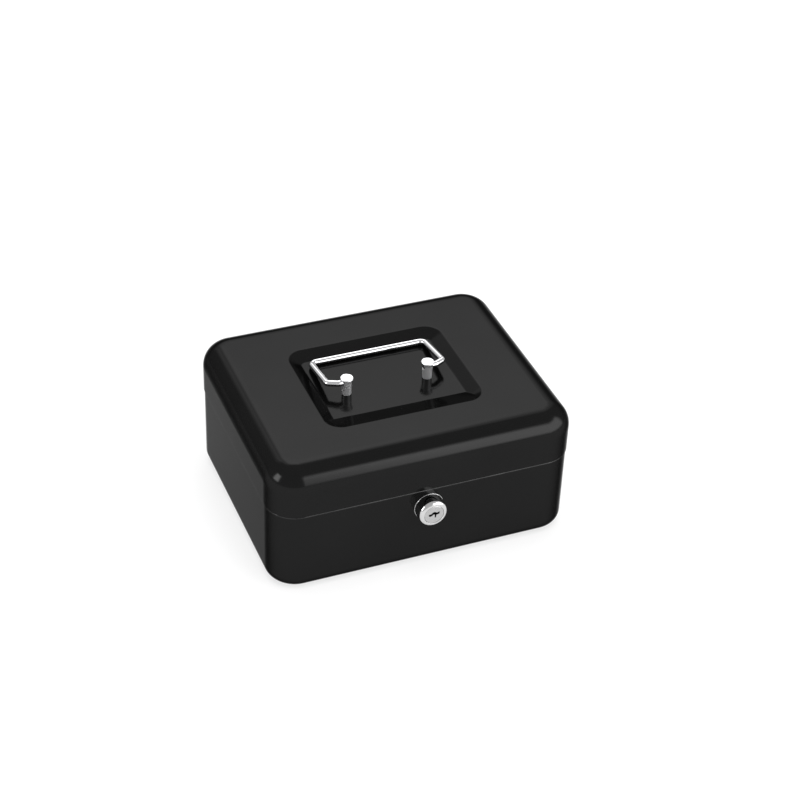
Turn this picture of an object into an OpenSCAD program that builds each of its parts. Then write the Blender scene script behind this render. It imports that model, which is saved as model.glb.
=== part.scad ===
// Small pressed-steel cash box with a lift-up lid, a fold-down bail handle in a
// shallow recess, a front cam lock, a rear hinge and a lift-out coin tray.
// Millimetres. +X runs along the front, +Y points to the hinge, +Z points up.
// The origin is the middle of the flat underside, below the middle of the lid.

/* [Box] */
// Width over the lid
box_w = 200; // [190:1:230]
// Depth over the lid
box_d = 160; // [155:1:180]
// Height of the body up to the shoulder that the lid closes on
body_h = 57.2; // [52:0.1:80]
// Height of the lid from its edge to its flat top
lid_h = 32.5; // [30:0.5:45]
// Radius of the four upright corners of the lid
corner_r = 20; // [19:0.5:24]
// Radius of the bend between the lid's top and its skirt
lid_edge_r = 15; // [10:0.5:15.5]
// Radius of the bend between the floor and the walls of the body
base_edge_r = 8; // [5:0.5:10]
// Thickness of the steel sheet
sheet_t = 0.8; // [0.6:0.1:1]
// How far the lid stands out past the body on each side
lid_overhang = 0.5; // [0.3:0.1:0.6]
// Gap between the shoulder and the lid's edge
seam_gap = 0.3; // [0.2:0.1:0.5]
// Height of the upstanding rim above the shoulder
rim_h = 7; // [5:0.5:8]
// Gap between the rim and the inside of the lid
rim_gap = 0.5; // [0.4:0.05:0.7]

/* [Handle recess] */
// From the bail's arms to the foot of the recess's side walls
recess_side_gap = 4.5; // [2:0.5:6]
// From the bail's grip to the foot of the recess's back wall
recess_back_gap = 3.8; // [2:0.2:6]
// From the post axes to the foot of the recess's front slope
recess_front_gap = 22.8; // [20:0.2:28]
// How deep the recess floor lies below the top face
recess_depth = 4.6; // [4:0.2:5]
// Horizontal run of the recess's side and back walls
recess_run = 9.5; // [8.5:0.5:11]
// Horizontal run of the recess's longer front slope
recess_front_run = 16; // [14:0.5:18]
// Bend radius along the top and the foot of the recess walls
recess_bend_r = 2.5; // [1.5:0.5:4]

/* [Handle] */
// Distance between the two post axes
post_spacing = 54.4; // [50:0.2:58]
// Distance of the post axes in front of the box's centre
post_forward = 5.8; // [4:0.2:7]
// Radius of a post
post_r = 3.3; // [3.1:0.1:3.6]
// Radius of a post's flared head
post_head_r = 4.1; // [4:0.1:4.6]
// Height of a post above the recess floor
post_h = 12; // [11.5:0.5:13.5]
// Radius of the shank that fixes a post to the lid
post_shank_r = 2; // [1.6:0.1:2.4]
// Radius of the bail wire
wire_r = 2; // [1.8:0.05:2.1]
// Height of the bail's pivot above the recess floor
pivot_h = 8.6; // [8.2:0.1:8.8]
// Width of the bail between the centres of its two arms
bail_w = 78; // [76:0.5:81]
// Distance from the bail's pivot to the centre of the grip
bail_reach = 35.4; // [33:0.2:36]
// Bend radius at the centre of the wire
bail_bend_r = 4; // [3:0.5:5]
// Distance by which the bail's ends lean from the arms to the pivot
bail_lean = 3.6; // [2:0.2:4.5]

/* [Lock] */
// How far the lock's axis lies below the shoulder
lock_drop = 12.8; // [12.5:0.1:18]
// Radius of the bezel where it meets the wall
bezel_r = 9.6; // [9.5:0.1:10.5]
// Radius of the bezel where its rounded nose begins
bezel_front_r = 9.3; // [8.4:0.1:9.3]
// How far the bezel stands out of the wall
bezel_out = 9.5; // [8:0.5:12]
// Radius of the lock's threaded barrel
barrel_r = 7; // [6.8:0.1:7.2]
// Width across the barrel's two flats
barrel_flats = 12.6; // [12:0.1:13]
// Length of the barrel behind the wall's outer face
barrel_len = 13.5; // [12:0.5:15]
// Radius of the plug's face
plug_face_r = 6.4; // [6:0.1:6.6]
// Radius of the plug inside the barrel
plug_r = 4.8; // [4.4:0.1:5]
// Length of the keyway
keyway_w = 7; // [6:0.5:8]
// Height of the keyway
keyway_h = 1.8; // [1:0.1:1.9]
// Distance from the lock's axis to the tip of the cam
cam_reach = 21; // [20:0.5:22]
// Width of the cam
cam_w = 8; // [7:0.5:9]
// Thickness of the cam
cam_t = 1.5; // [1.2:0.1:2]
// Thickness of the hex nut behind the wall
lock_nut_t = 3; // [2:0.5:3.5]

/* [Hinge] */
// Length of the hinge
hinge_len = 120; // [100:5:125]
// Number of knuckles, the odd ones on the body
knuckle_count = 5; // [3:2:7]
// Outer radius of a knuckle
knuckle_r = 2.1; // [1.9:0.1:2.4]
// Radius of the hinge pin
hinge_pin_r = 1.2; // [1:0.1:1.3]
// Thickness of the hinge leaves
leaf_t = 0.9; // [0.8:0.1:1]
// Height of each hinge leaf's flat plate
leaf_h = 12; // [9:0.5:12.5]
// Radius of a rivet's shank
rivet_r = 1.5; // [1.2:0.1:1.8]

/* [Coin tray] */
// How far the ledges that carry the tray lie below the shoulder
ledge_drop = 19.2; // [17:0.1:24]
// Gap between the tray and the body's rim, at both sides and at the back
tray_gap = 3; // [2:0.2:4]
// Gap between the tray and the end of the lock's screw
tray_front_gap = 3.4; // [2:0.2:12]
// Height of the tray
tray_h = 19; // [18:0.5:24]
// Thickness of the tray's walls and floor
tray_wall = 1.6; // [1.2:0.1:2.2]
// Number of coin cups in the tray's front row
coin_cups = 4; // [3:1:5]
// Depth of the coin cups from front to back
coin_cup_d = 62; // [50:1:70]
// Radius of the coin cups' scooped floors
scoop_r = 14; // [8:1:16]

/* [Hidden] */
$fn = 96;
// Radial clearances: a piece that only locates another, and a piece that turns
fit_gap = 0.05;
run_gap = 0.08;

// Steel shells
body_corner_r = corner_r - lid_overhang;
rim_out_u = corner_r - sheet_t - rim_gap;
rim_in_u = rim_out_u - sheet_t;
shoulder_r = body_corner_r - rim_out_u;
span_x = box_w - 2 * corner_r;
span_y = box_d - 2 * corner_r;
lid_z = body_h + seam_gap;
box_h = lid_z + lid_h;
body_front_y = lid_overhang - box_d / 2;
body_back_y = -body_front_y;
lid_front_y = -box_d / 2;

// Bail: at rest it leans back until its grip is just clear of the recess floor
recess_z = box_h - recess_depth;
pivot_z = recess_z + pivot_h;
grip_clear = 0.1;
bail_dip = asin((pivot_h - wire_r - grip_clear) / bail_reach);
bail_plan = bail_reach * cos(bail_dip);
stub_end_inset = 0.3;
stub_over_out = 2.4;
stub_bend_gap = 0.5;

// Posts and what fixes them
post_x = post_spacing / 2;
post_y = -post_forward;
post_waist = 0.2;
post_head_h = 3;
post_head_edge = 0.5;
post_head_bevel = 0.3;
washer_t = 1;
washer_rim = 3.2;
peen_rim = 1.2;
peen_bevel = 0.8;
peen_h = 1.2;

// Handle recess, laid out round the bail. Its side and back walls are swept round
// a rectangle, and the front slope fills the front of the pan that they make.
floor_w = bail_w + 2 * recess_side_gap;
floor_front_y = post_y - recess_front_gap;
floor_back_y = post_y + bail_plan + recess_back_gap;
pan_front_y = floor_front_y - recess_front_run + recess_run;
pan_d = floor_back_y - pan_front_y;
recess_y = (pan_front_y + floor_back_y) / 2;
recess_corner_r = 2.5;
recess_w = floor_w + 2 * recess_run;
recess_d = pan_d + 2 * recess_run;
recess_bed_z = recess_z - 3;
bend_sum = 2 * recess_bend_r;
bend_steps = 4;

// Lock, measured back from the wall's outer face
lock_z = body_h - lock_drop;
wall_in_y = body_front_y + sheet_t;
lock_front_y = body_front_y - bezel_out;
barrel_end_y = body_front_y + barrel_len;
bezel_foot = 0.9;
bezel_step = 0.15;
bezel_lip = 0.15;
bezel_round = bezel_front_r - plug_face_r - run_gap - bezel_lip;
plug_bevel = 0.25;
collar_len = 3;
end_float = 0.1;
lock_washer_t = 0.6;
lock_washer_rim = 2.4;
lock_washer_r = barrel_r + lock_washer_rim;
lock_nut_wall = 2;
lock_nut_corner_r = (barrel_r + lock_nut_wall) / cos(30);
cam_hub_r = 5.6;
boss_w = 5.4;
boss_root = 1;
screw_r = 1.6;
screw_len = 6;
screw_tip_gap = 0.2;
screw_head_r = 3.2;
screw_head_h = 2;
screw_slot_w = 0.8;
cam_y = barrel_end_y + end_float;

// Wafers in the plug
wafer_count = 5;
wafer_t = 0.8;
wafer_pitch = 2.6;
wafer_h = 3;
wafer_inset = 0.25;
wafer_w = 2 * (plug_r - wafer_inset);
wafer_slot_gap = 0.1;
wafer_start = 2.2;
wafer_first_y = lock_front_y + collar_len + wafer_start;
wafer_window_w = keyway_w + 0.6;
wafer_window_h = 2.2;
keyway_end = 3;
keyway_len = collar_len + wafer_count * wafer_pitch + keyway_end;

// Lid catch: a hook that hangs from the lid, with its lip under the locked cam
skirt_top_z = box_h - lid_edge_r;
catch_side_gap = 1.6;
catch_x = lock_nut_corner_r + catch_side_gap;
catch_w = 10;
catch_t = 1;
catch_leg_back = 3.3;
catch_leg_y = body_front_y + catch_leg_back;
cam_gap = 0.4;
catch_lip_z = lock_z - cam_w / 2 - cam_gap;
catch_rim_gap = 1;
catch_flange_z = body_h + rim_h + catch_rim_gap;
catch_top_gap = 1.8;
catch_flange_h = skirt_top_z - catch_top_gap - catch_flange_z;
catch_lip_over = 1.5;
catch_lip_end_y = cam_y + cam_t + catch_lip_over;

// Hinge at the back of the seam
knuckle_wall_gap = 0.2;
hinge_y = box_d / 2 + knuckle_r + knuckle_wall_gap;
hinge_z = body_h + seam_gap / 2;
knuckle_pitch = hinge_len / knuckle_count;
knuckle_gap = 0.3;
leaf_start = 4.8;
web_lap = 1;
pin_head_t = 0.8;
pin_head_inset = 0.3;
rivet_head_rim = 1.3;
rivet_head_r = rivet_r + rivet_head_rim;
rivet_head_h = 1.1;
rivet_set_h = 0.8;
rivet_set_inset = 0.4;
rivet_inset = 10;
rivet_count = 4;
rivet_pitch = (hinge_len - 2 * rivet_inset) / (rivet_count - 1);
rivet_drop = leaf_start + leaf_h / 2;

// Tray and the ledges that carry it
ledge_z = body_h - ledge_drop;
ledge_end_inset = 4;
ledge_under = 3.5;
ledge_h = 9;
wall_in_x = box_w / 2 - lid_overhang - sheet_t;
tray_w = span_x + 2 * (rim_in_u - tray_gap);
tray_front_y = cam_y + cam_t + screw_head_h + tray_front_gap;
tray_back_y = span_y / 2 + rim_in_u - tray_gap;
tray_d = tray_back_y - tray_front_y;
tray_y = (tray_front_y + tray_back_y) / 2;
tray_corner_r = rim_in_u - tray_gap;
ledge_in_x = tray_w / 2 - ledge_under;
ledge_len = span_y - 2 * ledge_end_inset;
note_cup_d = tray_d - coin_cup_d - 3 * tray_wall;
note_cups = 2;

// How far a cutter runs past what it cuts
past = 1;

// How far joined sheets run into each other, across both sides
weld = 0.2;

// --- Shared shapes ---------------------------------------------------------

// Sweeps a profile, drawn as distance outwards and height, round a rectangle
// with the given spans: four straight runs and four quarter turns.
module swept_edge(w, d) {
    for (side = [0:3]) {
        out = side % 2 == 0 ? w : d;
        run = side % 2 == 0 ? d : w;
        rotate(90 * side)
            translate([out / 2, run / 2, 0]) {
                rotate([90, 0, 0]) linear_extrude(run) children();
                rotate_extrude(angle = 90) children();
            }
    }
}

// A flat slab between the swept edges.
module slab(w, d, z0, t) {
    translate([-w / 2, -d / 2, z0]) cube([w, d, t]);
}

// One quarter of a bent sheet's section; turn 0 opens to the right and up.
module bend_section(r, t, turn) {
    rotate(turn)
        intersection() {
            difference() {
                circle(r);
                circle(r - t);
            }
            square(r);
        }
}

// A rectangle from one corner to the opposite one.
module box2d(low, high) {
    translate(low) square(high - low);
}

// A rounded upright block from z0 to z1.
module rounded_block(w, d, r, z0, z1) {
    translate([0, 0, z0])
        linear_extrude(z1 - z0)
            union() {
                square([w - 2 * r, d], center = true);
                square([w, d - 2 * r], center = true);
                for (sx = [-1, 1], sy = [-1, 1])
                    translate([sx * (w / 2 - r), sy * (d / 2 - r)]) circle(r);
            }
}

// A cylinder along +Y from y0 to y1 on the lock's axis.
module lock_cyl(r, y0, y1) {
    translate([0, y0, lock_z]) rotate([-90, 0, 0]) cylinder(r = r, h = y1 - y0);
}

// A cylinder along +X from x0 to x1 at the given y and z.
module x_cyl(r, x0, x1, y, z) {
    translate([x0, y, z]) rotate([0, 90, 0]) cylinder(r = r, h = x1 - x0);
}

// A section drawn as y and z, extruded along +X from x0 to x1.
module x_extrude(x0, x1) {
    translate([x0, 0, 0]) rotate([90, 0, 90]) linear_extrude(x1 - x0) children();
}

// --- Body ------------------------------------------------------------------

module body_section() {
    bend_u = body_corner_r - base_edge_r;
    box2d([0, 0], [bend_u, sheet_t]);
    translate([bend_u, base_edge_r]) bend_section(base_edge_r, sheet_t, -90);
    difference() {
        union() {
            box2d([body_corner_r - sheet_t, base_edge_r], [body_corner_r, body_h]);
            box2d([rim_in_u, body_h - sheet_t], [body_corner_r, body_h]);
            box2d([rim_in_u, body_h - sheet_t], [rim_out_u, body_h + rim_h]);
        }
        shoulder_cut();
    }
}

// What the bend between the wall and the rim takes off the shoulder's corner.
module shoulder_cut() {
    difference() {
        box2d([rim_out_u, body_h - shoulder_r], [body_corner_r + past, body_h + past]);
        translate([rim_out_u, body_h - shoulder_r]) circle(shoulder_r);
    }
}

module barrel_outline(gap) {
    intersection() {
        circle(barrel_r + gap);
        square([barrel_flats + 2 * gap, 2 * (barrel_r + past)], center = true);
    }
}

module barrel_prism(gap, y0, y1) {
    translate([0, y0, lock_z]) rotate([-90, 0, 0]) linear_extrude(y1 - y0) barrel_outline(gap);
}

module body_shell() {
    color("#202022")
        difference() {
            union() {
                swept_edge(span_x, span_y) body_section();
                slab(span_x, span_y, 0, sheet_t);
            }
            barrel_prism(fit_gap, body_front_y - past, wall_in_y + past);
            at_rivets() rivet_bore(body_back_y, hinge_z - rivet_drop);
        }
}

module tray_ledge(side) {
    color("#202022")
        mirror([side < 0 ? 1 : 0, 0, 0]) {
            translate([wall_in_x - sheet_t, -ledge_len / 2, ledge_z - ledge_h])
                cube([sheet_t, ledge_len, ledge_h]);
            translate([ledge_in_x, -ledge_len / 2, ledge_z - sheet_t])
                cube([wall_in_x - ledge_in_x, ledge_len, sheet_t]);
        }
}

// --- Lid -------------------------------------------------------------------

module lid_section() {
    bend_u = corner_r - lid_edge_r;
    box2d([0, box_h - sheet_t], [bend_u, box_h]);
    translate([bend_u, box_h - lid_edge_r]) bend_section(lid_edge_r, sheet_t, 0);
    box2d([corner_r - sheet_t, lid_z], [corner_r, box_h - lid_edge_r]);
}

// Steepness of a recess wall of the given run, between its two bends.
function wall_slope(run) = asin(bend_sum / norm([run, bend_sum - recess_depth]))
    - atan2(bend_sum - recess_depth, run);

// What lies under a recess wall's upper face, and under the lid's top for the margin beyond it.
function wall_bed(run, margin) = let (slope = wall_slope(run)) concat(
    [[0, recess_bed_z]],
    [for (i = [0:bend_steps]) let (a = slope * i / bend_steps)
        [recess_bend_r * sin(a), recess_z + recess_bend_r * (1 - cos(a))]],
    [for (i = [0:bend_steps]) let (a = slope * (1 - i / bend_steps))
        [run - recess_bend_r * sin(a), box_h - recess_bend_r * (1 - cos(a))]],
    [[run + margin, box_h], [run + margin, recess_bed_z]]);

// All that lies under the upper face of the recess and of a margin round it.
module recess_bed(margin) {
    w = floor_w - 2 * recess_corner_r;
    d = pan_d - 2 * recess_corner_r;
    translate([0, recess_y, 0]) {
        swept_edge(w, d)
            union() {
                translate([recess_corner_r, 0]) polygon(wall_bed(recess_run, margin));
                box2d([0, recess_bed_z], [recess_corner_r, recess_z]);
            }
        slab(w, d, recess_bed_z, recess_z - recess_bed_z);
    }
    x_extrude(-recess_w / 2 - margin / 4, recess_w / 2 + margin / 4)
        translate([floor_front_y, 0]) mirror([1, 0]) polygon(wall_bed(recess_front_run, margin / 4));
}

// The block inside the recess's outline, spread a little.
module recess_block(spread) {
    translate([0, recess_y, 0])
        rounded_block(recess_w + spread, recess_d + spread,
            recess_run + recess_corner_r, recess_bed_z, box_h + past);
}

module lid_shell() {
    color("#242426")
        difference() {
            union() {
                difference() {
                    union() {
                        swept_edge(span_x, span_y) lid_section();
                        slab(span_x, span_y, box_h - sheet_t, sheet_t);
                    }
                    recess_block(past);
                }
                intersection() {
                    recess_block(past + weld);
                    difference() {
                        recess_bed(past);
                        translate([0, 0, -sheet_t]) recess_bed(2 * past);
                    }
                }
            }
            for (side = [-1, 1])
                translate([side * post_x, post_y, recess_z - sheet_t - past])
                    cylinder(r = post_shank_r + fit_gap, h = sheet_t + 2 * past);
            at_rivets() rivet_bore(box_d / 2, hinge_z + rivet_drop);
        }
}

// A hook of folded strip: a flange on the skirt, a leg inside the rim and a lip.
module lid_catch() {
    flange_y = lid_front_y + sheet_t;
    leg_in_y = catch_leg_y + catch_t;
    color("silver")
        x_extrude(catch_x, catch_x + catch_w) {
            box2d([flange_y, catch_flange_z], [flange_y + catch_t, catch_flange_z + catch_flange_h]);
            box2d([flange_y, catch_flange_z], [leg_in_y, catch_flange_z + catch_t]);
            box2d([catch_leg_y, catch_lip_z - catch_t], [leg_in_y, catch_flange_z + catch_t]);
            box2d([catch_leg_y, catch_lip_z - catch_t], [catch_lip_end_y, catch_lip_z]);
        }
}

// --- Hinge -----------------------------------------------------------------

// Leaf section with its web to the knuckle; dir is -1 downwards and 1 upwards.
module leaf_plate_section(wall_y, dir) {
    top = hinge_z + dir * leaf_start;
    end = top + dir * leaf_h;
    box2d([wall_y, min(top, end)], [wall_y + leaf_t, max(top, end)]);
}

module leaf_web_section(wall_y, dir) {
    top = hinge_z + dir * leaf_start;
    polygon([[wall_y, top + dir * web_lap], [wall_y + leaf_t, top + dir * web_lap], [wall_y + leaf_t, top],
        [hinge_y + 0.6 * knuckle_r, hinge_z + 0.7 * dir * knuckle_r],
        [hinge_y - 0.8 * knuckle_r, hinge_z + 0.5 * dir * knuckle_r], [wall_y, top]]);
}

// A hinge leaf whose knuckles start at the given index and take every second place.
module hinge_leaf(wall_y, dir, first) {
    difference() {
        union() {
            x_extrude(-hinge_len / 2, hinge_len / 2) leaf_plate_section(wall_y, dir);
            for (k = [first:2:knuckle_count - 1]) {
                x0 = -hinge_len / 2 + k * knuckle_pitch + knuckle_gap / 2;
                x1 = x0 + knuckle_pitch - knuckle_gap;
                x_cyl(knuckle_r, x0, x1, hinge_y, hinge_z);
                x_extrude(x0, x1) leaf_web_section(wall_y, dir);
            }
        }
        x_cyl(hinge_pin_r + run_gap, -hinge_len / 2 - past, hinge_len / 2 + past, hinge_y, hinge_z);
        at_rivets() rivet_bore(wall_y, hinge_z + dir * rivet_drop);
    }
}

module hinge_leaf_body() {
    color("#202022") hinge_leaf(body_back_y, -1, 0);
}

module hinge_leaf_lid() {
    color("#242426") hinge_leaf(box_d / 2, 1, 1);
}

// The pin, with a small head against each end of the hinge.
module hinge_pin() {
    end_x = hinge_len / 2 + pin_head_t;
    color("#9a9a9c") {
        x_cyl(hinge_pin_r, -end_x, end_x, hinge_y, hinge_z);
        for (x0 = [-end_x, hinge_len / 2])
            x_cyl(knuckle_r - pin_head_inset, x0, x0 + pin_head_t, hinge_y, hinge_z);
    }
}

module at_rivets() {
    for (i = [0:rivet_count - 1])
        translate([-hinge_len / 2 + rivet_inset + i * rivet_pitch, 0, 0]) children();
}

module rivet_bore(wall_y, z) {
    translate([0, wall_y - sheet_t - past, z])
        rotate([-90, 0, 0]) cylinder(r = rivet_r + fit_gap, h = sheet_t + leaf_t + 2 * past);
}

// A domed rivet through the wall and the leaf, with a flat set head inside.
module rivet(wall_y, z) {
    dome_r = (rivet_head_r * rivet_head_r + rivet_head_h * rivet_head_h) / (2 * rivet_head_h);
    translate([0, wall_y, z])
        rotate([-90, 0, 0]) {
            translate([0, 0, -sheet_t - rivet_set_h]) {
                cylinder(r = rivet_r, h = rivet_set_h + sheet_t + leaf_t + rivet_head_h / 2);
                cylinder(r = rivet_head_r - rivet_set_inset, h = rivet_set_h);
            }
            translate([0, 0, leaf_t])
                intersection() {
                    translate([0, 0, rivet_head_h - dome_r]) sphere(dome_r);
                    cylinder(r = rivet_head_r, h = rivet_head_h + past);
                }
        }
}

module hinge_rivets_body() {
    color("#2a2a2c") at_rivets() rivet(body_back_y, hinge_z - rivet_drop);
}

module hinge_rivets_lid() {
    color("#2a2a2c") at_rivets() rivet(box_d / 2, hinge_z + rivet_drop);
}

// --- Lock ------------------------------------------------------------------

// Outline of the bezel as radius and distance in front of the wall.
module bezel_section() {
    nose = bezel_out - bezel_round;
    polygon([[0, 0], [bezel_r, 0], [bezel_r, bezel_foot], [bezel_r - bezel_step, bezel_foot],
        [bezel_front_r, nose], [bezel_front_r - bezel_round, bezel_out], [0, bezel_out]]);
    intersection() {
        translate([bezel_front_r - bezel_round, nose]) circle(bezel_round);
        box2d([0, nose], [bezel_front_r, bezel_out]);
    }
}

module lock_housing() {
    color("#d8d8da")
        difference() {
            union() {
                translate([0, body_front_y, lock_z]) rotate([90, 0, 0]) rotate_extrude() bezel_section();
                barrel_prism(0, body_front_y - past, barrel_end_y);
            }
            lock_cyl(plug_r + run_gap, lock_front_y - past, barrel_end_y + past);
            lock_cyl(plug_face_r + run_gap, lock_front_y - past, lock_front_y + collar_len + run_gap);
        }
}

module lock_washer() {
    color("#b0b0b0")
        difference() {
            lock_cyl(lock_washer_r, wall_in_y, wall_in_y + lock_washer_t);
            barrel_prism(fit_gap, wall_in_y - past, wall_in_y + lock_washer_t + past);
        }
}

module lock_nut() {
    nut_y = wall_in_y + lock_washer_t;
    color("#b8b8ba")
        difference() {
            translate([0, nut_y, lock_z])
                rotate([-90, 0, 0]) cylinder(r = lock_nut_corner_r, h = lock_nut_t, $fn = 6);
            lock_cyl(barrel_r + fit_gap, nut_y - past, nut_y + lock_nut_t + past);
        }
}

// The keyway's wavy outline, centred on the plug.
module keyway_outline() {
    bit = keyway_w / 6;
    polygon([[-3 * bit, -keyway_h / 2], [-1.6 * bit, -keyway_h / 2], [-0.4 * bit, keyway_h * 0.1],
        [0.3 * bit, keyway_h * 0.1], [0.4 * bit, -keyway_h * 1.3], [1.1 * bit, -keyway_h * 1.3],
        [1.2 * bit, -keyway_h * 0.2], [3 * bit, keyway_h * 0.1], [3 * bit, keyway_h * 1.1],
        [1.6 * bit, keyway_h * 0.7], [0.3 * bit, keyway_h * 1.2], [-0.6 * bit, keyway_h * 1.1],
        [-1.8 * bit, keyway_h * 0.5], [-3 * bit, keyway_h * 0.5]]);
}

// A flat bar across the plug, used for the wafers and, wider, for their slots.
module wafer_bar(i, gap) {
    t = wafer_t + 2 * gap;
    h = wafer_h + 2 * gap;
    w = wafer_w + 2 * gap;
    translate([-w / 2, wafer_first_y + i * wafer_pitch - gap, lock_z - h / 2]) cube([w, t, h]);
}

module lock_plug() {
    color("#dededf")
        difference() {
            union() {
                translate([0, lock_front_y, lock_z])
                    rotate([-90, 0, 0]) cylinder(r1 = plug_face_r - plug_bevel, r2 = plug_face_r, h = plug_bevel);
                lock_cyl(plug_face_r, lock_front_y + plug_bevel, lock_front_y + collar_len);
                lock_cyl(plug_r, lock_front_y, cam_y);
                translate([-boss_w / 2, cam_y - boss_root, lock_z - boss_w / 2])
                    cube([boss_w, boss_root + cam_t - end_float, boss_w]);
            }
            translate([0, lock_front_y - past, lock_z])
                rotate([90, 0, 0])
                    mirror([0, 0, 1]) linear_extrude(keyway_len + past) keyway_outline();
            for (i = [0:wafer_count - 1])
                wafer_bar(i, wafer_slot_gap);
            lock_cyl(screw_r + fit_gap, cam_y + cam_t - screw_len - screw_tip_gap, cam_y + cam_t + past);
        }
}

module lock_wafers() {
    color("#c9a24a")
        for (i = [0:wafer_count - 1])
            difference() {
                wafer_bar(i, 0);
                translate([-wafer_window_w / 2, wafer_first_y + i * wafer_pitch - past,
                    lock_z - wafer_window_h / 2])
                    cube([wafer_window_w, wafer_t + 2 * past, wafer_window_h]);
            }
}

// The cam points up when the lock is open and turns to +X to lock.
module lock_cam() {
    color("#c4c4c6")
        difference() {
            union() {
                lock_cyl(cam_hub_r, cam_y, cam_y + cam_t);
                translate([-cam_w / 2, cam_y, lock_z]) cube([cam_w, cam_t, cam_reach - cam_w / 2]);
                translate([0, cam_y, lock_z + cam_reach - cam_w / 2])
                    rotate([-90, 0, 0]) cylinder(r = cam_w / 2, h = cam_t);
            }
            translate([-boss_w / 2 - fit_gap, cam_y - past, lock_z - boss_w / 2 - fit_gap])
                cube([boss_w + 2 * fit_gap, cam_t + 2 * past, boss_w + 2 * fit_gap]);
        }
}

module cam_screw() {
    head_y = cam_y + cam_t;
    color("#b8b8ba")
        difference() {
            union() {
                lock_cyl(screw_r, head_y - screw_len, head_y + screw_head_h);
                lock_cyl(screw_head_r, head_y, head_y + screw_head_h);
            }
            translate([-screw_head_r - past, head_y + screw_head_h / 2, lock_z - screw_slot_w / 2])
                cube([2 * (screw_head_r + past), screw_head_h, screw_slot_w]);
        }
}

// --- Handle ----------------------------------------------------------------

// Outline of a post from its peened end up to its flared head.
module post_section() {
    peen_z = -sheet_t - washer_t;
    peen_r = post_shank_r + peen_rim;
    polygon([[0, peen_z - peen_h], [peen_r - peen_bevel, peen_z - peen_h], [peen_r, peen_z],
        [post_shank_r, peen_z], [post_shank_r, 0], [post_r - post_waist, 0],
        [post_r, post_h - post_head_h], [post_head_r, post_h - post_head_edge],
        [post_head_r - post_head_bevel, post_h], [0, post_h]]);
}

// A turned post with a cross bore for the bail.
module handle_post(side) {
    color("#d8d8da")
        translate([side * post_x, post_y, recess_z])
            difference() {
                rotate_extrude() post_section();
                translate([-post_head_r - past, 0, pivot_h])
                    rotate([0, 90, 0]) cylinder(r = wire_r + run_gap, h = 2 * (post_head_r + past));
            }
}

module post_washer(side) {
    color("#b0b0b0")
        translate([side * post_x, post_y, recess_z - sheet_t - washer_t])
            difference() {
                cylinder(r = post_shank_r + washer_rim, h = washer_t);
                translate([0, 0, -past]) cylinder(r = post_shank_r + fit_gap, h = washer_t + 2 * past);
            }
}

// Direction of a 2D vector in degrees.
function heading(v) = atan2(v[1], v[0]);

// Signed turn from one heading to the next, in degrees.
function turn_of(a, b) = let (d = heading(b) - heading(a)) d > 180 ? d - 360 : d < -180 ? d + 360 : d;

// Length that a bend takes from each of its two straights.
function bend_trim(turn, r) = r * tan(abs(turn) / 2);

// Round wire along a flat path: straights, with a bend of its own radius at each
// corner. A bend is a little thinner than the wire, and each straight runs into it.
module flat_wire(path, bends, r) {
    bend_thinning = 0.02;
    lap = 0.05;
    last = len(path) - 1;
    turns = [for (i = [0:last]) i == 0 || i == last ? 0
        : turn_of(path[i] - path[i - 1], path[i + 1] - path[i])];
    trims = [for (i = [0:last]) bend_trim(turns[i], bends[i])];
    for (i = [0:last - 1]) {
        step = path[i + 1] - path[i];
        dir = step / norm(step);
        start = path[i] + dir * (trims[i] - lap);
        run = norm(step) - trims[i] - trims[i + 1] + 2 * lap;
        translate([start[0], start[1], 0])
            rotate(heading(step)) rotate([0, 90, 0]) cylinder(r = r, h = run);
    }
    for (i = [1:last - 1]) {
        into = path[i] - path[i - 1];
        side = turns[i] > 0 ? 1 : -1;
        a = heading(into);
        start = path[i] - into / norm(into) * trims[i];
        centre = start + bends[i] * side * [-sin(a), cos(a)];
        translate([centre[0], centre[1], 0])
            rotate(side > 0 ? a - 90 : a + 90 + turns[i])
                rotate_extrude(angle = abs(turns[i]))
                    translate([bends[i], 0]) circle(r - bend_thinning);
    }
}

// The bail, lying back in the recess.
module handle_bail() {
    half = bail_w / 2;
    stub_in = post_x - post_r + post_waist + stub_end_inset;
    stub_out = post_x + post_r + stub_over_out;
    path = [[stub_in, 0], [stub_out, 0], [half, bail_lean], [half, bail_reach], [-half, bail_reach],
        [-half, bail_lean], [-stub_out, 0], [-stub_in, 0]];
    end_bend_r = wire_r + stub_bend_gap;
    bends = [0, end_bend_r, end_bend_r, bail_bend_r, bail_bend_r, end_bend_r, end_bend_r, 0];
    color("#e0e0e2")
        translate([0, post_y, pivot_z]) rotate([-bail_dip, 0, 0]) flat_wire(path, bends, wire_r);
}

// --- Coin tray -------------------------------------------------------------

// One compartment with scooped front and back, open at the top.
module tray_cup(x, y, w, d, r) {
    floor_z = ledge_z + tray_wall;
    top_z = ledge_z + tray_h + past;
    x_extrude(x, x + w)
        union() {
            box2d([y + r, floor_z], [y + d - r, top_z]);
            box2d([y, floor_z + r], [y + d, top_z]);
            for (c = [y + r, y + d - r])
                translate([c, floor_z + r]) circle(r);
        }
}

// A row of equal compartments across the tray.
module tray_row(count, y, d, r) {
    w = (tray_w - (count + 1) * tray_wall) / count;
    intersection() {
        for (i = [0:count - 1])
            tray_cup(-tray_w / 2 + tray_wall + i * (w + tray_wall), y, w, d, r);
        translate([0, tray_y, 0])
            rounded_block(tray_w - 2 * tray_wall, tray_d - 2 * tray_wall, tray_corner_r - tray_wall,
                ledge_z, ledge_z + tray_h + 2 * past);
    }
}

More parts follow.
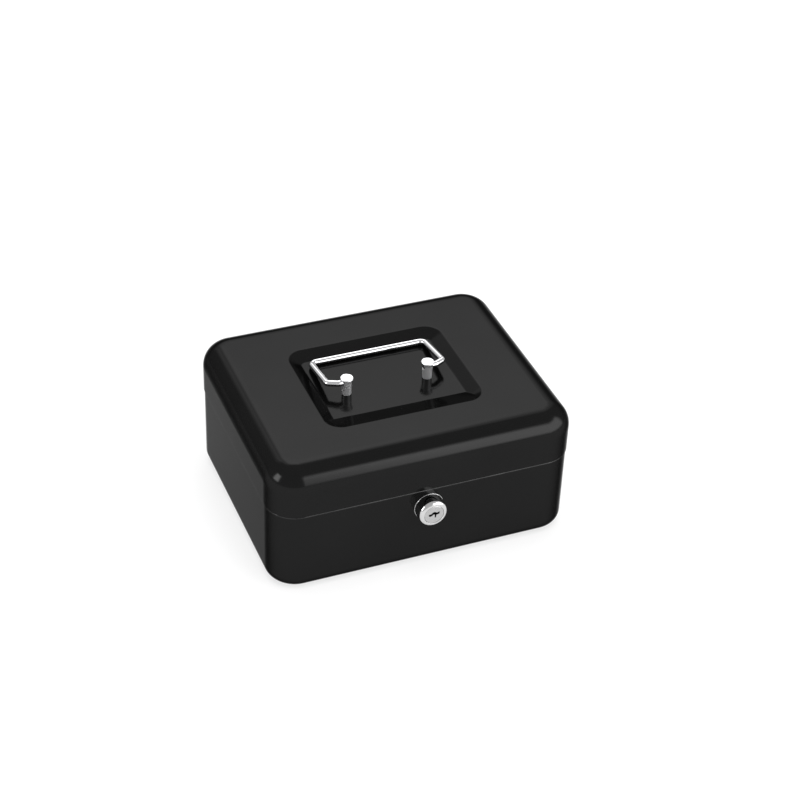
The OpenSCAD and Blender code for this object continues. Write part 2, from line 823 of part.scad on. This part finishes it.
// The tray: a row of scooped coin cups in front and a row of note cups behind.
module coin_tray() {
    bar_y = tray_front_y + tray_wall + coin_cup_d;
    color("#1a1a1a")
        difference() {
            translate([0, tray_y, 0])
                rounded_block(tray_w, tray_d, tray_corner_r, ledge_z, ledge_z + tray_h);
            tray_row(coin_cups, tray_front_y + tray_wall, coin_cup_d, scoop_r);
            tray_row(note_cups, bar_y + tray_wall, note_cup_d, tray_wall);
        }
}

// --- Nodes -----------------------------------------------------------------

body_shell();
lid_shell();
tray_ledge(-1);  // tray_ledge_left
tray_ledge(1);  // tray_ledge_right
coin_tray();
hinge_leaf_body();
hinge_leaf_lid();
hinge_pin();
hinge_rivets_body();
hinge_rivets_lid();
lock_housing();
lock_washer();
lock_nut();
lock_plug();
lock_wafers();
lock_cam();
cam_screw();
lid_catch();
handle_bail();
handle_post(-1);  // handle_post_left
handle_post(1);  // handle_post_right
post_washer(-1);  // post_washer_left
post_washer(1);  // post_washer_right
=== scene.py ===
"""Looks of a small black steel cash box: enamel, plate, plastic, studio floor, light and camera.

Lengths are in metres and texture scales in waves per metre. Greys are linear, from 0 to 1.
"""
import math

import bpy
from mathutils import Matrix, Vector


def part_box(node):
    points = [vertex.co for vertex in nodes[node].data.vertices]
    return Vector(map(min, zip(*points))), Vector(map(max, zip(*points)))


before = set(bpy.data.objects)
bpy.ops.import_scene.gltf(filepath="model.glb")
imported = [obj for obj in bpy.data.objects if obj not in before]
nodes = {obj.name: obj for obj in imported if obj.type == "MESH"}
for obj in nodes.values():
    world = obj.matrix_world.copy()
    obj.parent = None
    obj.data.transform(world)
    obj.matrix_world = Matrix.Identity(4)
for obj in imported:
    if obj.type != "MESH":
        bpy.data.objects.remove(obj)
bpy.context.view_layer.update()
scene = bpy.context.scene

# --- Camera -----------------------------------------------------------------

# Solved from the photo's outline and seam, for a box 200 mm wide. Lens and sensor are in
# millimetres. The three axes are the camera's own, in the frame of the CAD.
CAMERA_LENS = 86.293
CAMERA_SENSOR = 36.0
CAMERA_NEAR = 0.01
CAMERA_FAR = 50.0
CAMERA_PLACE = (-0.3747287, -0.9094666, 0.7954193)
CAMERA_RIGHT = (0.92942951, -0.36738071, 0.03452834)
CAMERA_UP = (0.19249524, 0.56255758, 0.80403641)
CAMERA_BACK = (-0.31481165, -0.74064863, 0.59357665)


def add_camera():
    data = bpy.data.cameras.new("camera")
    data.lens = CAMERA_LENS
    data.sensor_width = CAMERA_SENSOR
    data.clip_start = CAMERA_NEAR
    data.clip_end = CAMERA_FAR
    camera = bpy.data.objects.new("camera", data)
    scene.collection.objects.link(camera)
    axes = Matrix((CAMERA_RIGHT, CAMERA_UP, CAMERA_BACK)).transposed().to_4x4()
    camera.matrix_world = Matrix.Translation(Vector(CAMERA_PLACE)) @ axes
    scene.camera = camera


# --- Node trees ---------------------------------------------------------------


class Tree:
    """The emptied node tree of a material or world, built by short calls."""

    def __init__(self, owner):
        owner.use_nodes = True
        self.tree = owner.node_tree
        self.tree.nodes.clear()

    def put(self, socket, value):
        """Links an output to a socket, or sets the socket to a plain value."""
        if hasattr(value, "is_output"):
            self.tree.links.new(value, socket)
        else:
            socket.default_value = value

    def fill(self, node, **values):
        """Puts values into a node's inputs, whose names have _ for each space."""
        for key, value in values.items():
            self.put(node.inputs[key.replace("_", " ")], value)
        return node

    def add(self, kind, **settings):
        """Adds a node with its settings, which aren't inputs."""
        node = self.tree.nodes.new(kind)
        for key, value in settings.items():
            setattr(node, key, value)
        return node

    def math(self, operation, *values, clamp=False):
        node = self.add("ShaderNodeMath", operation=operation, use_clamp=clamp)
        for socket, value in zip(node.inputs, values):
            self.put(socket, value)
        return node.outputs[0]

    def times(self, a, b):
        return self.math("MULTIPLY", a, b)

    def range(self, value, low, high, to_low=0.0, to_high=1.0):
        """Turns low to high into to_low to to_high, by a smooth step."""
        node = self.add("ShaderNodeMapRange", interpolation_type="SMOOTHSTEP")
        self.fill(node, Value=value, From_Min=low, From_Max=high, To_Min=to_low, To_Max=to_high)
        return node.outputs["Result"]


# Between these lie most values of a noise.
NOISE_LOW = 0.3
NOISE_HIGH = 0.7

# A speckle's soft border starts at this share of its size.
SPECKLE_CORE = 0.4

BEVEL_SAMPLES = 6


class Surface(Tree):
    """The tree of a new material with one Principled shader, in the object's own coordinates."""

    def __init__(self, name):
        self.material = bpy.data.materials.new(name)
        super().__init__(self.material)
        self.shader = self.add("ShaderNodeBsdfPrincipled")
        self.fill(self.add("ShaderNodeOutputMaterial"), Surface=self.shader.outputs["BSDF"])
        self.coords = self.add("ShaderNodeTexCoord").outputs["Object"]

    def set(self, **values):
        """Sets or links inputs of the Principled shader."""
        self.fill(self.shader, **values)

    def axis(self, name):
        return self.fill(self.add("ShaderNodeSeparateXYZ"), Vector=self.coords).outputs[name]

    def mapped(self, **values):
        """The coordinates, moved by Location or stretched by Scale."""
        mapping = self.fill(self.add("ShaderNodeMapping"), Vector=self.coords, **values)
        return mapping.outputs["Vector"]

    def noise(self, scale, detail=3.0, roughness=0.5, distortion=0.0, stretch=None):
        coords = self.mapped(Scale=stretch) if stretch else self.coords
        node = self.fill(self.add("ShaderNodeTexNoise"), Vector=coords, Scale=scale,
                         Detail=detail, Roughness=roughness, Distortion=distortion)
        return node.outputs["Fac"]

    def speckle(self, scale, size):
        """Small round dots, 1 inside and 0 outside. Their size is a share of their spacing."""
        node = self.fill(self.add("ShaderNodeTexVoronoi"), Vector=self.coords, Scale=scale)
        return self.range(node.outputs["Distance"], size, size * SPECKLE_CORE)

    def mix(self, share, a, b):
        """Colour a where the share is 0, and colour b where it is 1."""
        node = self.add("ShaderNodeMix", data_type="RGBA")
        return self.fill(node, Factor=share, A=a, B=b).outputs["Result"]

    def clouded(self, noise, value, multiples):
        """A grey that a noise moves between two multiples of its value."""
        return self.mix(noise, *(grey(value * multiple) for multiple in multiples))

    def vary(self, noise, value, multiples):
        """A number that a noise moves between two multiples of its value."""
        return self.range(noise, NOISE_LOW, NOISE_HIGH, *(value * m for m in multiples))

    def relief(self, radius, *layers):
        """Rounds sharp edges by a radius, and lays bumps of (pattern, height) on the faces."""
        bevel = self.add("ShaderNodeBevel", samples=BEVEL_SAMPLES)
        normal = self.fill(bevel, Radius=radius).outputs["Normal"]
        for pattern, height in layers:
            bump = self.add("ShaderNodeBump")
            self.fill(bump, Strength=1.0, Distance=height, Height=pattern, Normal=normal)
            normal = bump.outputs["Normal"]
        self.set(Normal=normal)


def grey(value, tint=(1.0, 1.0, 1.0)):
    return (value * tint[0], value * tint[1], value * tint[2], 1.0)


# --- Enamel -------------------------------------------------------------------

# The gloss is mostly a dark metal's: even head on and slow to rise towards grazing angles, where
# the tint holds it down.
ENAMEL_METAL = 0.9
ENAMEL_GREY = 0.0165
ENAMEL_GRAZING_TINT = 0.441
ENAMEL_ROUGH = 0.12
ENAMEL_EDGE = 0.0004

# The paint's clouds, and between which multiples they move its grey and its roughness.
CLOUD_SCALE = 22.0
CLOUD_TONES = (0.92, 1.08)
CLOUD_ROUGHS = (0.85, 1.15)

# Here and below, a PATCHES pair holds the values of a noise at which its patches start and are
# full, and a GAIN is how many times brighter than the paint a spot is.
DUST_SCALE = 900.0
DUST_SIZE = 0.07
DUST_PATCH_SCALE = 60.0
DUST_PATCHES = (0.55, 0.7)
DUST_GAIN = 3.0
DUST_SHARE = 0.5

# The painted highlight along an edge: the scale and values of its patches, its least strength, and
# its solid core as a share of its half width.
SEAM_GLINT_SCALE = 70.0
SEAM_GLINT_PATCHES = (0.3, 0.6)
SEAM_GLINT_LEAST = 0.45
SEAM_GLINT_CORE = 0.5
SEAM_GLINT_GAIN = 2.8

# Places rubbed by hands and cloths, and by how much they are rougher.
RUBBED_SCALE = 95.0
RUBBED_PATCHES = (0.60, 0.78)
RUBBED_ROUGHER = 0.05
HAIRLINE_SCALE = 60.0
HAIRLINE_STRETCH = (1.0, 14.0, 1.0)
HAIRLINE_PATCHES = (0.66, 0.70)
HAIRLINE_ROUGHER = 0.04

PEEL_SCALE = 520.0
PEEL_HEIGHT = 0.0000045
PEEL_FINE_SCALE = 1500.0
PEEL_FINE_HEIGHT = 0.0000006


def enamel(name, reflect=ENAMEL_GREY, rough=ENAMEL_ROUGH, peel=1.0, seam_glint=None):
    """Stove enamel on pressed steel: near black, with a slight orange peel, dust and rubbed spots.

    The last argument gives the height of an edge, as (middle, half width), where a painted
    highlight brightens the paint in uneven patches.
    """
    g = Surface(name)
    cloud = g.noise(CLOUD_SCALE, detail=4.0, roughness=0.6)
    tone = g.clouded(cloud, reflect, CLOUD_TONES)

    dusty = g.range(g.noise(DUST_PATCH_SCALE, detail=2.0), *DUST_PATCHES)
    dust = g.times(g.speckle(DUST_SCALE, DUST_SIZE), dusty)
    tone = g.mix(g.times(dust, DUST_SHARE), tone, grey(reflect * DUST_GAIN))
    # Painted highlight: a band round the given height is brightened, unevenly in patches.
    if seam_glint:
        middle, half = seam_glint
        away = g.math("ABSOLUTE", g.math("SUBTRACT", g.axis("Z"), middle))
        patches = g.noise(SEAM_GLINT_SCALE, detail=4.0, roughness=0.7)
        patches = g.range(patches, *SEAM_GLINT_PATCHES, SEAM_GLINT_LEAST, 1.0)
        glint = g.times(g.range(away, half, half * SEAM_GLINT_CORE), patches)
        tone = g.mix(glint, tone, grey(reflect * SEAM_GLINT_GAIN))

    smears = g.noise(RUBBED_SCALE, detail=5.0, roughness=0.7, distortion=0.4)
    rubbed = g.range(smears, *RUBBED_PATCHES)
    streaks = g.noise(HAIRLINE_SCALE, detail=2.0, distortion=0.1, stretch=HAIRLINE_STRETCH)
    hairline = g.range(streaks, *HAIRLINE_PATCHES)
    roughness = g.vary(cloud, rough, CLOUD_ROUGHS)
    roughness = g.math("ADD", roughness, g.times(rubbed, RUBBED_ROUGHER))
    roughness = g.math("ADD", roughness, g.times(hairline, HAIRLINE_ROUGHER))

    g.set(Base_Color=tone, Roughness=roughness, Metallic=ENAMEL_METAL)
    g.set(Specular_IOR_Level=0.0, Specular_Tint=grey(ENAMEL_GRAZING_TINT))
    g.relief(ENAMEL_EDGE,
             (g.noise(PEEL_SCALE, detail=2.0, roughness=0.45), PEEL_HEIGHT * peel),
             (g.noise(PEEL_FINE_SCALE, detail=2.0), PEEL_FINE_HEIGHT * peel))
    return g.material


# --- Bright plate -------------------------------------------------------------

PLATE_TINT = (1.0, 1.0, 1.015)
PLATE_HAZE_SCALE = 140.0
PLATE_ROUGHS = (0.7, 1.4)

# The haze's bright side, as a share of its dark side.
PLATE_BRIGHT_SHARE = 0.6

PIT_SCALE = 1300.0
PIT_SIZE = 0.05
PIT_SHARE = 0.35
PIT_TONE = 0.55

MARK_SCALE = 2600.0
MARK_HEIGHT = 0.0000012

TURNED_EDGE = 0.0003
TURNED_HAZE_SCALE = 180.0
TURNED_TONES = (0.93, 1.04)
TURNED_ROUGHS = (0.75, 1.3)

RING_SCALE = 900.0
RING_WOBBLE = 1.5
RING_DETAIL = 2.0
RING_HEIGHT = 0.0000015

# Behind the plug's face, the keyway's painted shade starts and is full at these depths. It is dark
# and dull.
KEYWAY_SHADE_START = 0.0003
KEYWAY_SHADE_FULL = 0.0006
KEYWAY_SHADE_GREY = 0.02
KEYWAY_SHADE_ROUGH = 0.6


def plated(name, base, rough, edge, stretch, cloudy=0.05, metal=1.0):
    """Bright plate: a hazy clear metal with fine draw or turning marks."""
    g = Surface(name)
    haze = g.noise(PLATE_HAZE_SCALE, detail=4.0, roughness=0.6)
    tone = g.mix(haze, grey(base * (1.0 - cloudy), PLATE_TINT),
                 grey(base * (1.0 + cloudy * PLATE_BRIGHT_SHARE), PLATE_TINT))
    pits = g.times(g.speckle(PIT_SCALE, PIT_SIZE), PIT_SHARE)
    tone = g.mix(pits, tone, grey(base * PIT_TONE, PLATE_TINT))
    g.set(Base_Color=tone, Roughness=g.vary(haze, rough, PLATE_ROUGHS), Metallic=metal)
    marks = g.noise(MARK_SCALE, roughness=0.6, stretch=stretch)
    g.relief(edge, (marks, MARK_HEIGHT))
    return g.material


def turned(name, centre, base, rough, face=None):
    """A faced plug or bezel: plate with fine rings round the lock's axis along Y.

    face is the depth of the plug's face. Behind it the keyway carries painted shade, dark and
    dull.
    """
    g = Surface(name)
    rings = g.add("ShaderNodeTexWave", wave_type="RINGS", rings_direction="Y")
    g.fill(rings, Vector=g.mapped(Location=[-c for c in centre]), Scale=RING_SCALE,
           Distortion=RING_WOBBLE, Detail=RING_DETAIL)
    haze = g.noise(TURNED_HAZE_SCALE, detail=4.0, roughness=0.6)
    tone = g.clouded(haze, base, TURNED_TONES)
    roughness = g.vary(haze, rough, TURNED_ROUGHS)
    # Painted shade: the keyway grows dark and dull with depth behind the plug's face.
    if face is not None:
        inside = g.range(g.axis("Y"), face + KEYWAY_SHADE_START, face + KEYWAY_SHADE_FULL)
        tone = g.mix(inside, tone, grey(KEYWAY_SHADE_GREY))
        roughness = g.math("MAXIMUM", roughness, g.times(inside, KEYWAY_SHADE_ROUGH))
    g.set(Base_Color=tone, Roughness=roughness, Metallic=1.0)
    g.relief(TURNED_EDGE, (rings.outputs["Fac"], RING_HEIGHT))
    return g.material


# --- Zinc and brass -----------------------------------------------------------

ZINC_EDGE = 0.00015
ZINC_ROUGHS = (0.8, 1.25)
ZINC_BLUE = (0.97, 0.99, 1.03)
ZINC_STRAW = (1.03, 1.0, 0.94)
ZINC_STRAW_SCALE = 45.0
ZINC_MOTTLE_SCALE = 260.0
ZINC_MOTTLE_TONE = 0.75
ZINC_MOTTLE_SHARE = 0.35
ZINC_PATCHES = (0.35, 0.65)
ZINC_GRAIN_SCALE = 1800.0
ZINC_GRAIN_HEIGHT = 0.000004

BRASS_EDGE = 0.0001
BRASS_CLEAN = (0.78, 0.56, 0.26, 1.0)
BRASS_CLEAN_ROUGH = 0.22
BRASS_TARNISHED = (0.42, 0.27, 0.12, 1.0)
BRASS_TARNISHED_ROUGH = 0.42
TARNISH_SCALE = 420.0
TARNISH_PATCHES = (0.4, 0.75)
BRASS_GRAIN_SCALE = 3000.0
BRASS_GRAIN_STRETCH = (1.0, 1.0, 12.0)
BRASS_GRAIN_HEIGHT = 0.000002


def zinc(name, base=0.6, rough=0.34):
    """Zinc-plated pressed steel: a mottled, faintly blue and straw-coloured satin metal."""
    g = Surface(name)
    mottle = g.noise(ZINC_MOTTLE_SCALE, detail=4.0, roughness=0.6, distortion=0.3)
    straw = g.range(g.noise(ZINC_STRAW_SCALE), *ZINC_PATCHES)
    tone = g.mix(straw, grey(base, ZINC_BLUE), grey(base, ZINC_STRAW))
    dull = g.range(mottle, *ZINC_PATCHES, 0.0, ZINC_MOTTLE_SHARE)
    tone = g.mix(dull, tone, grey(base * ZINC_MOTTLE_TONE))
    g.set(Base_Color=tone, Roughness=g.vary(mottle, rough, ZINC_ROUGHS), Metallic=1.0)
    g.relief(ZINC_EDGE, (g.noise(ZINC_GRAIN_SCALE, roughness=0.6), ZINC_GRAIN_HEIGHT))
    return g.material


def brass(name):
    """Stamped brass with a little tarnish."""
    g = Surface(name)
    tarnish = g.range(g.noise(TARNISH_SCALE, detail=4.0, roughness=0.6), *TARNISH_PATCHES)
    roughness = g.range(tarnish, 0.0, 1.0, BRASS_CLEAN_ROUGH, BRASS_TARNISHED_ROUGH)
    g.set(Base_Color=g.mix(tarnish, BRASS_CLEAN, BRASS_TARNISHED), Roughness=roughness,
          Metallic=1.0)
    grain = g.noise(BRASS_GRAIN_SCALE, detail=2.0, stretch=BRASS_GRAIN_STRETCH)
    g.relief(BRASS_EDGE, (grain, BRASS_GRAIN_HEIGHT))
    return g.material


# --- Plastic ------------------------------------------------------------------

PLASTIC_IOR = 1.46
PLASTIC_EDGE = 0.0004
PLASTIC_ROUGH = 0.46
PLASTIC_CLOUD_SCALE = 30.0
PLASTIC_DARK = grey(0.013)
PLASTIC_LIGHT = grey(0.019, (1.0, 1.0, 1.03))
PLASTIC_GRAIN_SCALE = 1900.0
PLASTIC_GRAIN_HEIGHT = 0.00002

# Scuffs run across the tray, from coins that slide in and out.
SCUFF_SCALE = 150.0
SCUFF_STRETCH = (3.0, 1.0, 1.0)
SCUFF_PATCHES = (0.58, 0.70)
SCUFF_GREY = 0.045
SCUFF_SHARE = 0.35
SCUFF_ROUGH = 0.6


def moulded(name):
    """Black moulded plastic with a fine spark-eroded grain and coin scuffs."""
    g = Surface(name)
    cloud = g.noise(PLASTIC_CLOUD_SCALE, roughness=0.55)
    tone = g.mix(cloud, PLASTIC_DARK, PLASTIC_LIGHT)
    scrapes = g.noise(SCUFF_SCALE, detail=5.0, roughness=0.65, distortion=0.8,
                      stretch=SCUFF_STRETCH)
    scuff = g.range(scrapes, *SCUFF_PATCHES)
    tone = g.mix(g.times(scuff, SCUFF_SHARE), tone, grey(SCUFF_GREY))
    roughness = g.range(scuff, 0.0, 1.0, PLASTIC_ROUGH, SCUFF_ROUGH)
    g.set(Base_Color=tone, Roughness=roughness, IOR=PLASTIC_IOR)
    grain = g.noise(PLASTIC_GRAIN_SCALE, detail=2.0, roughness=0.6)
    g.relief(PLASTIC_EDGE, (grain, PLASTIC_GRAIN_HEIGHT))
    return g.material


# --- What each piece wears ----------------------------------------------------

# The body's shoulder, just below the seam: how far down and how wide its painted highlight lies.
SEAM_GLINT_DROP = 0.0008
SEAM_GLINT_HALF = 0.0005


def coat(material, *names):
    for name in names:
        for slot in nodes[name].material_slots:
            slot.material = material


def coat_sheets():
    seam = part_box("lid_shell")[0][2]
    # The body's enamel carries a painted highlight along its shoulder, below the seam.
    coat(enamel("body_enamel", seam_glint=(seam - SEAM_GLINT_DROP, SEAM_GLINT_HALF)), "body_shell")
    coat(enamel("lid_enamel"), "lid_shell")
    coat(enamel("ledge_enamel", rough=0.2), "tray_ledge_left", "tray_ledge_right")
    coat(enamel("hinge_enamel", rough=0.2, peel=1.5), "hinge_leaf_body", "hinge_leaf_lid")
    coat(enamel("rivet_enamel", reflect=0.03, rough=0.2, peel=1.5),
         "hinge_rivets_body", "hinge_rivets_lid")
    coat(moulded("tray_plastic"), "coin_tray")


def coat_handle_and_pin():
    coat(plated("pin_steel", base=0.55, rough=0.22, edge=0.0002, stretch=(0.06, 1.0, 1.0)),
         "hinge_pin")
    coat(plated("bail_plate", base=0.7, rough=0.07, edge=0.0002, stretch=(0.3, 1.0, 1.0)),
         "handle_bail")
    coat(plated("post_plate", base=0.72, rough=0.3, edge=0.0003, stretch=(1.0, 1.0, 6.0),
                cloudy=0.08, metal=0.75),
         "handle_post_left", "handle_post_right")


def coat_lock():
    axis = tuple(sum(side) / 2 for side in zip(*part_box("lock_housing")))
    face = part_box("lock_plug")[0][1]
    coat(turned("bezel_plate", axis, base=0.62, rough=0.09), "lock_housing")
    coat(turned("plug_plate", axis, base=0.48, rough=0.3, face=face), "lock_plug")
    coat(zinc("washer_zinc"), "lock_washer", "post_washer_left", "post_washer_right")
    coat(zinc("catch_zinc", base=0.62, rough=0.3), "lid_catch", "lock_cam")
    coat(zinc("nut_zinc", base=0.55, rough=0.26), "lock_nut", "cam_screw")
    coat(brass("wafer_brass"), "lock_wafers")


# --- Studio: pale floor, world with soft panels, lamp -------------------------

FLOOR_RADIUS = 7.0
FLOOR_SIDES = 96
FLOOR_DROP = 0.0002
FLOOR_GREY = 0.82
FLOOR_GLOW = 0.7


def floor_paper():
    """Pale paper. What the camera and the metal see of it is lifted towards white."""
    material = bpy.data.materials.new("floor_paper")
    g = Tree(material)
    paper = g.fill(g.add("ShaderNodeBsdfDiffuse"), Color=grey(FLOOR_GREY))
    glow = g.fill(g.add("ShaderNodeEmission"), Color=grey(1.0), Strength=1.0)
    rays = g.add("ShaderNodeLightPath").outputs
    seen = g.math("ADD", rays["Is Camera Ray"], rays["Is Glossy Ray"])
    seen = g.math("ADD", seen, rays["Is Transmission Ray"], clamp=True)
    mix = g.add("ShaderNodeMixShader")
    sources = (g.times(seen, FLOOR_GLOW), paper.outputs[0], glow.outputs[0])
    for socket, source in zip(mix.inputs, sources):
        g.put(socket, source)
    g.fill(g.add("ShaderNodeOutputMaterial"), Surface=mix.outputs[0])
    return material


def add_floor():
    turns = [2 * math.pi * i / FLOOR_SIDES for i in range(FLOOR_SIDES)]
    ring = [(FLOOR_RADIUS * math.cos(turn), FLOOR_RADIUS * math.sin(turn), 0.0) for turn in turns]
    mesh = bpy.data.meshes.new("floor")
    mesh.from_pydata(ring, [], [list(range(FLOOR_SIDES))])
    mesh.materials.append(floor_paper())
    floor = bpy.data.objects.new("floor", mesh)
    floor.location.z = -FLOOR_DROP
    scene.collection.objects.link(floor)


# Soft panels of the studio, as (azimuth from +Y to +X, elevation, half width, half height,
# soft border, brightness), with all angles in degrees.
PANELS = [
    (16.0, 43.0, 9.0, 19.0, 9.0, 1.55),
    (14.0, 43.0, 20.0, 19.0, 9.0, 0.9),
    (-20.0, 41.0, 3.0, 5.0, 7.0, 0.4),
    (133.0, 22.0, 22.0, 13.0, 14.0, 3.8),
    (-92.0, 22.0, 6.0, 10.0, 7.0, 6.5),
]

# The sky's brightness at the horizon, and from SKY_TURN degrees up.
SKY_LOW = 0.65
SKY_HIGH = 0.6
SKY_TURN = 50.0

HALF_TURN = 180.0
DEGREES = HALF_TURN / math.pi

# The lamp over the table, which lights the floor and isn't mirrored in the metal.
LAMP_SIZE = 1.6
LAMP_HEIGHT = 1.8
LAMP_POWER = 26.0


def add_world():
    """A dim soft sky with brighter panels, given as angles round the box."""
    scene.world = bpy.data.worlds.new("studio")
    g = Tree(scene.world)
    direction = g.add("ShaderNodeTexCoord").outputs["Generated"]
    part = g.fill(g.add("ShaderNodeSeparateXYZ"), Vector=direction).outputs
    elevation = g.times(g.math("ARCSINE", part["Z"]), DEGREES)
    azimuth = g.times(g.math("ARCTAN2", part["X"], part["Y"]), DEGREES)
    total = g.range(elevation, 0.0, SKY_TURN, SKY_LOW, SKY_HIGH)
    for az, el, half_w, half_h, soft, power in PANELS:
        turn = g.math("WRAP", g.math("SUBTRACT", azimuth, az), HALF_TURN, -HALF_TURN)
        across = g.times(g.math("ABSOLUTE", turn), math.cos(math.radians(el)))
        along = g.math("ABSOLUTE", g.math("SUBTRACT", elevation, el))
        panel = g.times(g.range(across, half_w + soft, half_w),
                        g.range(along, half_h + soft, half_h))
        total = g.math("MULTIPLY_ADD", panel, power, total)
    background = g.fill(g.add("ShaderNodeBackground"), Color=grey(1.0), Strength=total)
    g.fill(g.add("ShaderNodeOutputWorld"), Surface=background.outputs[0])


def add_lamp():
    data = bpy.data.lights.new("table_lamp", "AREA")
    data.shape = "DISK"
    data.size = LAMP_SIZE
    data.energy = LAMP_POWER
    lamp = bpy.data.objects.new("table_lamp", data)
    lamp.location = (0.0, 0.0, LAMP_HEIGHT)
    lamp.visible_glossy = False
    scene.collection.objects.link(lamp)


scene.view_settings.view_transform = "Standard"
add_camera()
coat_sheets()
coat_handle_and_pin()
coat_lock()
add_floor()
add_world()
add_lamp()
